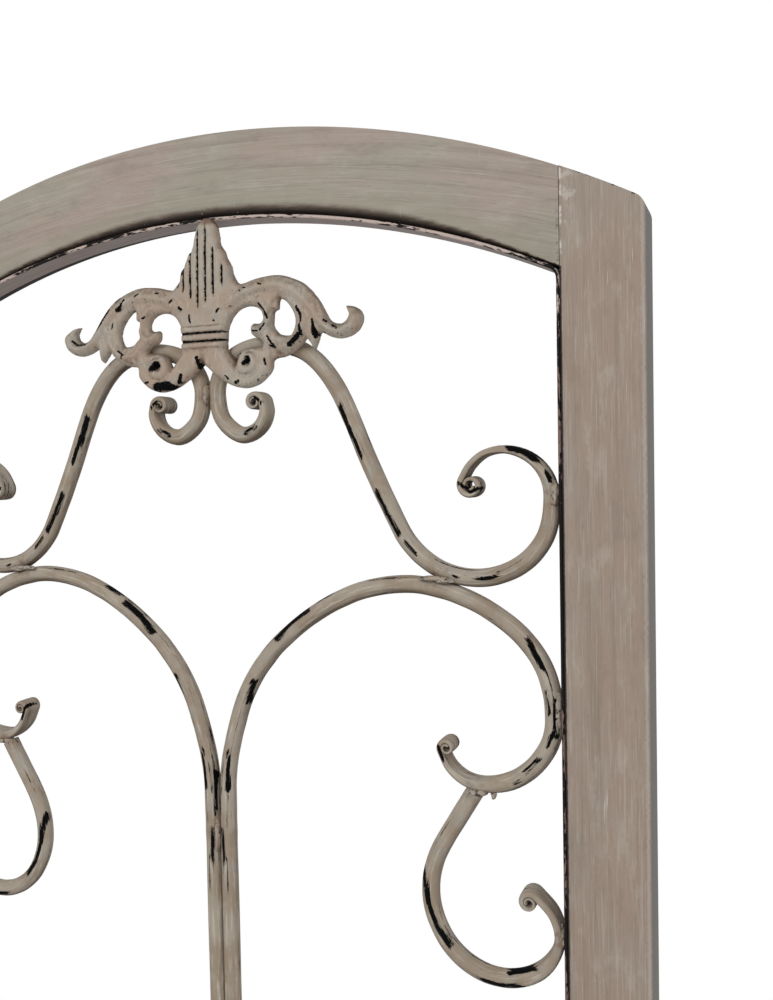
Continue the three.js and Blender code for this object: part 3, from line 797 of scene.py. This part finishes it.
casting = {
    "thickness": 5, "seat": 125.5, "lap": 1, "aside": 0.3, "slant": 4.3, "grid": 0.5, "voxel": 0.45, "rim": 1.3,
    "roundOver": 3.9, "field": (-88, 88, 40, 128), "smoothing": 2,
    # grooves in the petal: across at the top, across at the foot, first and last depth
    "flutes": [(0.6, 1.9, 45, 85), (5, 6.1, 55, 82), (10.1, 10.7, 63, 77.5), (-3.9, -2.4, 46, 87),
               (-8.2, -6.6, 54, 83), (-12.1, -11, 62, 78.5), (-14.4, -14.8, 69, 75.5)],
    "fluteWidth": 0.62, "fluteDeep": 1.5, "petalFoot": 92, "petalHalf": 16, "petalRise": 0.7,
    "collar": (93.6, 104.8), "collarOut": 14.6, "collarRise": 1.5,
    "grooves": (97.3, 101.25), "grooveHalf": 13.7, "grooveWidth": 0.55, "grooveDeep": 1.8,
    "eye": (25.9, 112.2), "eyeRadius": 1.9, "eyeDeep": 2.6, "volute": 11.5,
    "root": 104, "rootDeep": 1.2, "thinnest": 0.8,
    # rust: how much, then across and its reach, depth and its reach
    "rust": [(0.75, 1, 6, 43, 4.5), (0.85, 0, 3.4, 114, 8), (0.55, 43, 5, 109, 5), (0.55, -43, 5, 109, 5)]}


def roundedOutline(points, fine=4, closed=True):
    points = np.reshape(points, (-1, 2))
    n = len(points)
    made = []
    for i in range(n if closed else n - 1):
        a, b, c, d = (points[(i + k) % n] if closed else points[min(max(i + k, 0), n - 1)]
                      for k in (-1, 0, 1, 2))
        bend = np.dot(b - a, c - b) / (np.linalg.norm(b - a) * np.linalg.norm(c - b) + 1e-9)
        bendNext = np.dot(c - b, d - c) / (np.linalg.norm(c - b) * np.linalg.norm(d - c) + 1e-9)
        into = (c - a) / 2 * (0.15 if bend < 0.25 else 0.85)
        out = (d - b) / 2 * (0.15 if bendNext < 0.25 else 0.85)
        made += span(b, c, into, out, fine)
    return made if closed else made + [points[-1]]


def toSegments(spots, loops):
    best = np.full(len(spots), 1e9)
    nearest = np.zeros((len(spots), 2))
    inside = np.zeros(len(spots), bool)
    for ring in loops:
        ring = np.array(ring)
        for a, b in zip(ring, np.roll(ring, -1, axis=0)):
            ab = b - a
            t = ramp(((spots - a) @ ab) / (ab @ ab + 1e-12))
            foot = a + t[:, None] * ab
            far = np.linalg.norm(spots - foot, axis=1)
            near = far < best
            best[near], nearest[near] = far[near], foot[near]
            crosses = (a[1] > spots[:, 1]) != (b[1] > spots[:, 1])
            if abs(ab[1]) > 1e-12:
                inside ^= crosses & (spots[:, 0] < a[0] + ab[0] * (spots[:, 1] - a[1]) / ab[1])
    return best, nearest, inside


def castLoops():
    right = roundedOutline(castEdge, closed=False)
    outer = right + [np.array((-x, d)) for x, d in reversed(right[1:-1])]
    holes = [roundedOutline(ring) for ring in (castEye, castCurl)]
    return [outer] + holes + [[np.array((-x, d)) for x, d in ring] for ring in holes]


def fluteDepth(x, d):
    made = np.zeros_like(x)
    for top, foot, first, last in casting["flutes"]:
        t = ramp((d - first) / (last - first))
        middle = top + (foot - top) * t
        fade = ramp((d - first) / 3) * ramp((last - d) / 4)
        made = np.maximum(made, fade * bell(x - middle, casting["fluteWidth"]))
    return made


def collarGroove(x, d):
    c = casting
    inside = ramp((c["grooveHalf"] - np.abs(x)) / 1.5)
    return inside * sum(bell(d - e, c["grooveWidth"]) for e in c["grooves"])



# Crests of the leaf and of its inner branch, and the creases beside the volute: amount, reach, then the line.
castRidges = [
    (1.2, 2.6, 14, 84, 22, 79.6, 32, 77.4, 42, 77.6, 50, 81, 57, 87, 63, 94.6, 69, 99.6, 75, 100.8, 80.4, 98.6, 82, 95),
    (1, 2, 31, 83.2, 35.6, 88, 36.6, 94, 34.4, 99.6, 37, 104.6, 43, 107, 50, 104.8, 54.6, 99, 56, 93),
    (0.7, 1.5, 36.6, 94, 32.6, 98.4, 29, 98.2, 28.4, 96.4), (0.6, 1.3, 60.6, 99, 60.6, 107)]
castCreases = [
    (1, 0.8, 36.6, 104, 38.4, 107.4, 38.8, 111), (0.8, 1.2, 13, 107, 16.6, 112, 19, 114.4),
    (0.7, 0.9, 41.4, 82.6, 38.6, 86, 37.4, 90)]


def castHeight(x, d, far):
    c, wide = casting, np.abs(x)
    dome = np.sqrt(ramp(1 - (1 - ramp(far / c["roundOver"])) ** 2))
    high = c["rim"] + (c["thickness"] + 0.1 - c["rim"]) * dome
    petal = ramp((c["petalFoot"] - d) / 6) * ramp((c["petalHalf"] - wide) / 5)
    high = high + petal * c["petalRise"] * (1 - wide / c["petalHalf"]) - c["fluteDeep"] * fluteDepth(x, d)
    first, last = c["collar"]
    inCollar = ramp((d - first) / 0.7) * ramp((last - d) / 0.7) * ramp((c["collarOut"] - wide) / 0.8)
    high = high + inCollar * (c["collarRise"] - 0.5 * (x / 14) ** 2) - c["grooveDeep"] * collarGroove(x, d)
    for amount, reach, *line in castRidges:
        away = toLine(wide, d, line)
        high = high + amount * ramp(1 - away / reach) * (1 - inCollar) - 0.35 * bell(away - reach - 1, 0.9)
    ex, ed = c["eye"]
    r = np.hypot(wide - ex, d - ed)
    swirl = np.arctan2(d - ed, wide - ex)
    inVolute = ramp((c["volute"] - r) / 1.5)
    turns = (swirl / (2 * pi) + 0.3) % 1
    # a spiral crest with a spiral groove outside it
    high = high + inVolute * (bell(r - 2.2 - 3.4 * turns, 2.2) - bell(r - 4.4 - 4.6 * turns, 0.75))
    for amount, reach, *line in castCreases:
        high = high - amount * bell(toLine(wide, d, line), reach)
    high = high - c["eyeDeep"] * np.exp(-(r / c["eyeRadius"]) ** 4)
    high = high - c["rootDeep"] * ramp((d - c["root"]) / 2) * bell(x, 1)
    return np.maximum(high, c["thinnest"])


# Worn strokes on the casting: half the width, how bare, then the line as across and depth in turn.
castWear = [
    (1, 1.3, 60.1, 95.2, 60.6, 99, 61.6, 102.8), (0.7, 1.1, 61.4, 99, 62.6, 102.2),
    (1.3, 1.4, 53.6, 101, 51.6, 103, 48.8, 105.4), (1, 1.2, 53.4, 97, 54.4, 100.4),
    (0.9, 1.1, 51.6, 88.8, 53.6, 92, 54.4, 95), (0.7, 1.2, 31.6, 85.6, 34.4, 88.6, 36.2, 92.4),
    (0.5, 0.9, 28, 97.8, 31, 98.2), (0.8, 1.1, 32.8, 97.6, 35, 95.2),
    (0.6, 1.2, 36.6, 101, 38.4, 103.8, 40.8, 105.8), (0.6, 1.1, 38, 105.4, 41.6, 106.6),
    (0.5, 1.1, 66, 95.4, 67.4, 96.4), (0.6, 1, 70.6, 98.2, 73.2, 99.8), (0.5, 1, 30.6, 75.8, 32.6, 76.6),
    (0.5, 1.1, 22.8, 77.2, 23.8, 77.4), (0.5, 1, 20.8, 78.4, 21.4, 78.5), (0.8, 1, 8.2, 87.6, 9.2, 86.4),
    (0.6, 0.9, 6.4, 91.4, 7, 91.6), (0.7, 1.1, 35.2, 111.6, 35.9, 114), (0.6, 1.1, 13.8, 118.6, 15.6, 120),
    (0.9, 1.1, 19.6, 122, 21.2, 121.6), (1.5, 1.2, 24.4, 112.8, 26.4, 110.6),
    (2.3, 1.6, -16, 123.5, -20, 121.6, -26, 122.2), (1.1, 1.3, -11.6, 117, -13, 120.4),
    (0.7, 1.1, -31, 119.6, -33, 120), (1.7, 1.3, -26, 111, -29, 113.6), (1.3, 1.5, -56.4, 82.6, -59, 86, -62, 90.4),
    (0.7, 1.1, -62, 90.4, -66, 95, -70.6, 98.6), (0.7, 0.9, -70.6, 98.6, -75, 98.8, -78.6, 96.4),
    (0.6, 1.1, -72.8, 89.4, -75, 88.6, -77.6, 89.2), (0.8, 1.2, -46, 78, -47.6, 80.6, -49.6, 82.6),
    (1.2, 1.3, -48.6, 82.4, -50, 82.8), (0.7, 1, -49.4, 76, -51.8, 78.6), (0.6, 1, -37.6, 75.6, -39.4, 77),
    (0.6, 1.1, -26, 76, -27.4, 76), (0.6, 1.1, -17.6, 80.2, -18.4, 81.6), (0.9, 1.1, -12, 85, -12.8, 84.4),
    (0.7, 1.2, -7.4, 88, -6.8, 91.6), (0.6, 1, -53, 89, -53.8, 91.6), (0.5, 1.1, -46, 105.4, -49.6, 103),
    (0.5, 1, -46.4, 105, -47.4, 107), (0.6, 0.9, -33.6, 87, -34.6, 88), (1, 1.1, -9, 56, -8, 59),
    (0.6, 1.2, -12.4, 65, -14.8, 74), (1.3, 1.2, -2.4, 109.4, -1.4, 114.6)]


def flatSpots(work):
    return np.array([v.co[:2] for v in work.verts])


def markCasting(work):
    # bare metal in the grooves and along the strokes, rust in the creases, and low down a brown that is partly rust and
    # partly painted shade
    wear, stainAndShade = newMarks(work, "wear", "stainAndShade")
    work.normal_update()
    x, d = flatSpots(work).T
    bare = 0.05 + 0.98 * np.maximum(fluteDepth(x, d), collarGroove(x, d))
    for half, amount, *line in castWear:
        bare = np.maximum(bare, 1.04 * amount * bell(toLine(x, d, line), half * 0.88))
    rust = 0.35 * bell(d - 105, 2.5) * (np.abs(x) < 14)
    for _, _, *line in castCreases:
        rust = np.maximum(rust, 0.4 * bell(toLine(np.abs(x), d, line), 2.2))
    for amount, across, wide, down, tall in casting["rust"]:
        rust = np.maximum(rust, amount * bell(x - across, wide) * bell(d - down, tall))
    # the low parts of the relief, its rounded rim and hollows: partly rust, partly painted shade
    low = ramp((2.9 - np.array([v.co.z for v in work.verts])) / 1.6)
    for v, b, q, deep in zip(work.verts, bare, rust, low):
        v[wear] = float(b) + (0.18 if v.normal.y > 0.4 else 0)
        v[stainAndShade] = float(q) + 0.4 * float(deep)


def makeCasting():
    c = casting
    tip = castEdge[1]
    seatY, seatZ = ironPlane - barRadius - touch, screen["height"] - c["seat"]
    tipY = ironPlane - stripDepth / 2 - touch
    tipZ = screen["height"] - screen["rail"] - touch - stripThickness + c["lap"]
    lean = atan2(seatY - tipY, tipZ - seatZ)
    cosLean, sinLean = cos(lean), sin(lean)
    stretch = (tipZ - seatZ) / cosLean / (c["seat"] - tip)
    loops = castLoops()
    x0, x1, d0, d1 = c["field"]
    work = bmesh.new()
    nx, nz = round((x1 - x0) / c["grid"]), round((d1 - d0) / c["grid"])
    bmesh.ops.create_grid(work, x_segments=nx, y_segments=nz, size=0.5)
    for v in work.verts:
        v.co = (v.co.x * (x1 - x0) + (x0 + x1) / 2, v.co.y * (d1 - d0) + (d0 + d1) / 2, 0)
    middles = np.array([f.calc_center_median()[:2] for f in work.faces])
    inside = toSegments(middles, loops)[2]
    bmesh.ops.delete(work, geom=[f for f, keep in zip(work.faces, inside) if not keep], context="FACES")
    bmesh.ops.delete(work, geom=[v for v in work.verts if not v.link_faces], context="VERTS")
    work.verts.ensure_lookup_table()
    nearest = toSegments(flatSpots(work), loops)[1]
    for v, place in zip(work.verts, nearest):
        if v.is_boundary:
            v.co.x, v.co.y = place
    spots = flatSpots(work)
    high = castHeight(*spots.T, toSegments(spots, loops)[0])
    back = bmesh.ops.extrude_face_region(work, geom=work.faces[:])["geom"]
    backVerts = {v for v in back if isinstance(v, bmesh.types.BMVert)}
    for v, h in zip([v for v in work.verts if v not in backVerts], high):
        v.co.z = h
    for v in backVerts:
        v.co.z = 0
    faceOut(work)
    rough = toMesh("castingBlank", work)
    blank = addObject("castingBlank", rough)
    voxels = blank.modifiers.new("voxels", "REMESH")
    voxels.mode, voxels.voxel_size = "VOXEL", c["voxel"]
    made = blank.evaluated_get(bpy.context.evaluated_depsgraph_get())
    work = bmesh.new()
    work.from_mesh(made.to_mesh())
    made.to_mesh_clear()
    bpy.data.objects.remove(blank)
    bpy.data.meshes.remove(rough)
    for k in range(c["smoothing"]):
        bmesh.ops.smooth_vert(work, verts=work.verts, factor=0.5, use_axis_x=True, use_axis_y=True, use_axis_z=True)
    markCasting(work)
    for v in work.verts:
        x, d, h = v.co
        up = (c["seat"] - d) * stretch
        x += c["aside"] + (c["seat"] - d) * tan(radians(c["slant"]))
        v.co = (x, seatY - h * cosLean - up * sinLean, seatZ - h * sinLean + up * cosLean)
    faceOut(work)
    shadeBelow(work)
    return work


castingShape = makeCasting()
for p in panels:
    addPiece(f"{p}_fleur_casting", castingShape, p, castPaint[p], [f"{p}_fleur_de_lis"], False, 70)
print("casting made")

# Weld beads: across, back, up, then half sizes. All are doubled to the left of the panel.
top, low = screen["height"], foot(0, 0)[1]
beadMarks = 0.28, 0.3  # wear and stain
beads = [
    (174.9, -7.2, top - 178, 1.8, 2.6, 5.6), (175.2, -6.6, top - 274, 1.6, 2.6, 8.5),
    (115.5, -7.6, top - 216.2, 4.6, 2, 1.2), (123.5, -7.4, top - 217, 4.4, 2.2, 1.5),
    (119.5, -8.2, top - 216, 2.4, 1.4, 1), (134.6, -5.5, top - 313.6, 2.8, 2.8, 2),
    (139.4, -5, top - 313.2, 2.6, 3, 2.3), (144.5, -5, top - 314.4, 1.3, 1.4, 2.2),
    (175.4, -5.6, top - 375, 1.4, 3.2, 6), (0, -7.2, top - 127, 1.3, 2.2, 4.6), (0, -7, top - 350, 1.2, 2, 8),
    (134.6, -5.5, low + 313.6, 2.8, 2.8, 2), (139.4, -5, low + 313.2, 2.6, 3, 2.3),
    (175.2, -6.6, low + 274, 1.6, 2.6, 8.5), (175.4, -5.6, low + 375, 1.4, 3.2, 6),
    (0, -7, low + 350, 1.2, 2, 8), (102, -5.5, stripFloor + 0.6, 6, 3.2, 1.3),
    (barBeside * 2 + 0.2, -7, middleLevel, 1.2, 2, 9), (175.2, -6.6, middleLevel + middleTop - 56, 1.5, 2.4, 6.5),
    (175.2, -6.6, middleLevel - middleTop + 56, 1.5, 2.4, 6.5)]


def makeBeads():
    work = bmesh.new()
    wear, stainAndShade = newMarks(work, "wear", "stainAndShade")
    for way in (1, -1):
        for k, (x, y, z, a, b, c) in enumerate(beads):
            made = bmesh.ops.create_icosphere(work, subdivisions=3, radius=1)["verts"]
            for v in made:
                lump = 1 + 0.4 * noise.noise(v.co * 1.9 + Vector((k * 3.1, way, 0)))
                v.co = Vector((way * x, y, z)) + Vector((v.co.x * a, v.co.y * b, v.co.z * c)) * lump
                v[wear], v[stainAndShade] = beadMarks
    faceOut(work)
    shadeBelow(work)
    return work


beadShape = makeBeads()
for p in panels:
    addPiece(f"{p}_weld_beads", beadShape, p, castPaint[p], (), False, 60)
print("weld beads made")

# Butt hinges: leaf on the edge of each stile, knuckles round the pin, three countersunk screws a leaf.
hinge = {"thickness": 1.6, "reach": 17, "height": 76, "knuckle": 3.6, "pin": 1.7, "clear": 0.3, "inset": 190,
         "cornerRadius": 3, "edge": 0.25, "barrelEdge": 0.3,
         # the pin's head as radius and height above the leaf, from its top down
         "head": [(0, 3), (1.5, 2.7), (2.5, 1.9), (2.9, 0.9), (2.9, 0.05), (1.7, 0)],
         # screws: levels, share of the leaf's reach, shift of the middle one, slot turn, profile from its top down
         "screws": (-26, 0, 26), "screwPlace": 0.46, "middleShift": 3.5, "slotTurn": 0.6, "slot": 0.35,
         "screw": [(0, 0.2), (2, 0.17), (2.8, 0.07), (3.1, -0.1), (0, -0.1)]}
shoulder = archCentre + sqrt(outerArch ** 2 - halfWidth ** 2)


def spun(profile, steps=32):
    work = bmesh.new()
    verts = [work.verts.new((r, 0, z)) for r, z in profile]
    edges = [work.edges.new(pair) for pair in zip(verts, verts[1:])]
    bmesh.ops.spin(work, geom=verts + edges, cent=(0, 0, 0), axis=(0, 0, 1), angle=2 * pi, steps=steps,
                   use_merge=True, use_duplicate=False)
    weld(work)
    return work


def joined(works):
    whole = bmesh.new()
    for work in works:
        mesh = toMesh("part", work)
        whole.from_mesh(mesh)
        bpy.data.meshes.remove(mesh)
    return whole


def makeLeaf(side, face, level, knuckles):
    h = hinge
    x0 = halfWidth + touch
    clear = pinOut - h["knuckle"] - 2 * touch
    base = level - h["height"] / 2
    tall = (h["height"] - 2 * touch) / 3
    middle = x0 + h["thickness"] / 2
    plate = block((h["thickness"], h["reach"], h["height"]))
    corners = [e for e in plate.edges if abs(e.verts[0].co.x - e.verts[1].co.x) > 0.5 and e.verts[0].co.y < 0]
    bevelEdges(plate, corners, h["cornerRadius"], 5)
    plate.normal_update()
    bevelEdges(plate, [e for e in plate.edges if sum(abs(f.normal.x) > 0.9 for f in e.link_faces) == 1], h["edge"], 2)
    shift(plate, middle, clear - h["reach"] / 2, level)
    works = [plate]
    for k in knuckles:
        low = base + k * (tall + touch)
        tongue = block((h["thickness"], pinOut - clear + 1, tall), (middle, (pinOut + clear - 1) / 2, low + tall / 2))
        inner, outer, e = h["pin"] + h["clear"], h["knuckle"], h["barrelEdge"]
        barrel = spun([(inner, low), (outer - e, low), (outer, low + e), (outer, low + tall - e),
                       (outer - e, low + tall), (inner, low + tall), (inner, low)])
        shift(barrel, pinAcross, pinOut, 0)
        works += [tongue, barrel]
    for up in h["screws"]:
        for half in (1, -1):
            screw = spun(h["screw"], 24)
            cutOutside(screw, (0, -half * h["slot"], 0), (0, -half, 0))
            for angle, axis in ((h["slotTurn"] + up, "Z"), (pi / 2, "Y")):
                bmesh.ops.rotate(screw, cent=(0, 0, 0), matrix=Matrix.Rotation(angle, 3, axis), verts=screw.verts)
            y = clear - h["reach"] * h["screwPlace"] + (0 if up else -h["middleShift"])
            shift(screw, x0 + h["thickness"], y, level + up)
            works.append(screw)
    whole = joined(works)
    rescale(whole, side, face, 1)
    faceOut(whole)
    return whole


def makePin(side, face, level):
    end = hinge["height"] / 2 + touch
    half = [(r, end + up) for r, up in hinge["head"]]
    work = spun([(r, -z) for r, z in half] + [(r, z) for r, z in reversed(half)])
    shift(work, side * pinAcross, face * pinOut, level)
    return work


for joint, side, face in (("left", -1, 1), ("right", 1, -1)):
    for place, level in (("lower", hinge["inset"]), ("upper", shoulder - hinge["inset"])):
        name = f"{joint}_{place}_hinge"
        for kind, shape, panel, node in (
                ("inner_leaf", makeLeaf(side, face, level, (0, 2)), "middle", "leaf_inner"),
                ("pin", makePin(side, face, level), "middle", "pin"),
                ("outer_leaf", makeLeaf(-side, face, level, (1,)), joint, "leaf_outer")):
            addPiece(f"{name}_{kind}_brass", shape, panel, brass, [f"{name}_{node}"])
print("hinges made")

# A floor and a pale surround that shows white to the camera beyond the screen's own shadow.
studio = {"floor": 0.82, "radius": 9, "lift": 0.45, "fadeFrom": 1.2, "fadeTo": 2, "sky": 0.54,
          # lamps: place, aim, size, power
          "keyLamp": ((-1.2, -2.6, 3.2), (0.2, 0, 1.2), 1.6, 44),
          "fillLamp": ((2.4, -2.2, 1.6), (0.2, 0, 1), 2, 8)}


def makeStudio():
    floor = newPaint("paleFloor")
    x, y, _ = floor.node("TexCoord", out="Object").parts()
    far = (x * x + y * y).root().step(studio["fadeFrom"], studio["fadeTo"])
    seen = floor.node("LightPath", out="Is Camera Ray")
    matt = floor.node("BsdfDiffuse", {"Color": (studio["floor"],) * 3 + (1,)})
    white = floor.node("Emission", {"Color": (1, 1, 1, 1), "Strength": 1})
    both = floor.node("MixShader", {0: (far * (1 - studio["lift"]) + studio["lift"]) * seen, 1: matt, 2: white})
    floor.node("OutputMaterial", {"Surface": both})
    work = bmesh.new()
    bmesh.ops.create_circle(work, cap_ends=True, segments=64, radius=studio["radius"])
    mesh = toMesh("studioFloor", work)
    mesh.materials.append(floor.owner)
    addObject("studioFloor", mesh)
    air = Paint(bpy.data.worlds.new("studio"))
    seen = air.node("LightPath", out="Is Camera Ray")
    strength = air.node("MapRange", {"Value": seen, "To Min": studio["sky"], "To Max": 1})
    sky = air.node("Background", {"Color": (1, 1, 1, 1), "Strength": strength})
    air.node("OutputWorld", {"Surface": sky})
    scene.world = air.owner
    for name in ("keyLamp", "fillLamp"):
        place, aim, size, power = studio[name]
        data = bpy.data.lights.new(name, "AREA")
        data.shape, data.size, data.energy = "SQUARE", size, power
        lamp = addObject(name, data)
        lamp.location = place
        lamp.rotation_euler = (Vector(aim) - Vector(place)).to_track_quat("-Z", "Y").to_euler()


makeStudio()
print("studio lit")
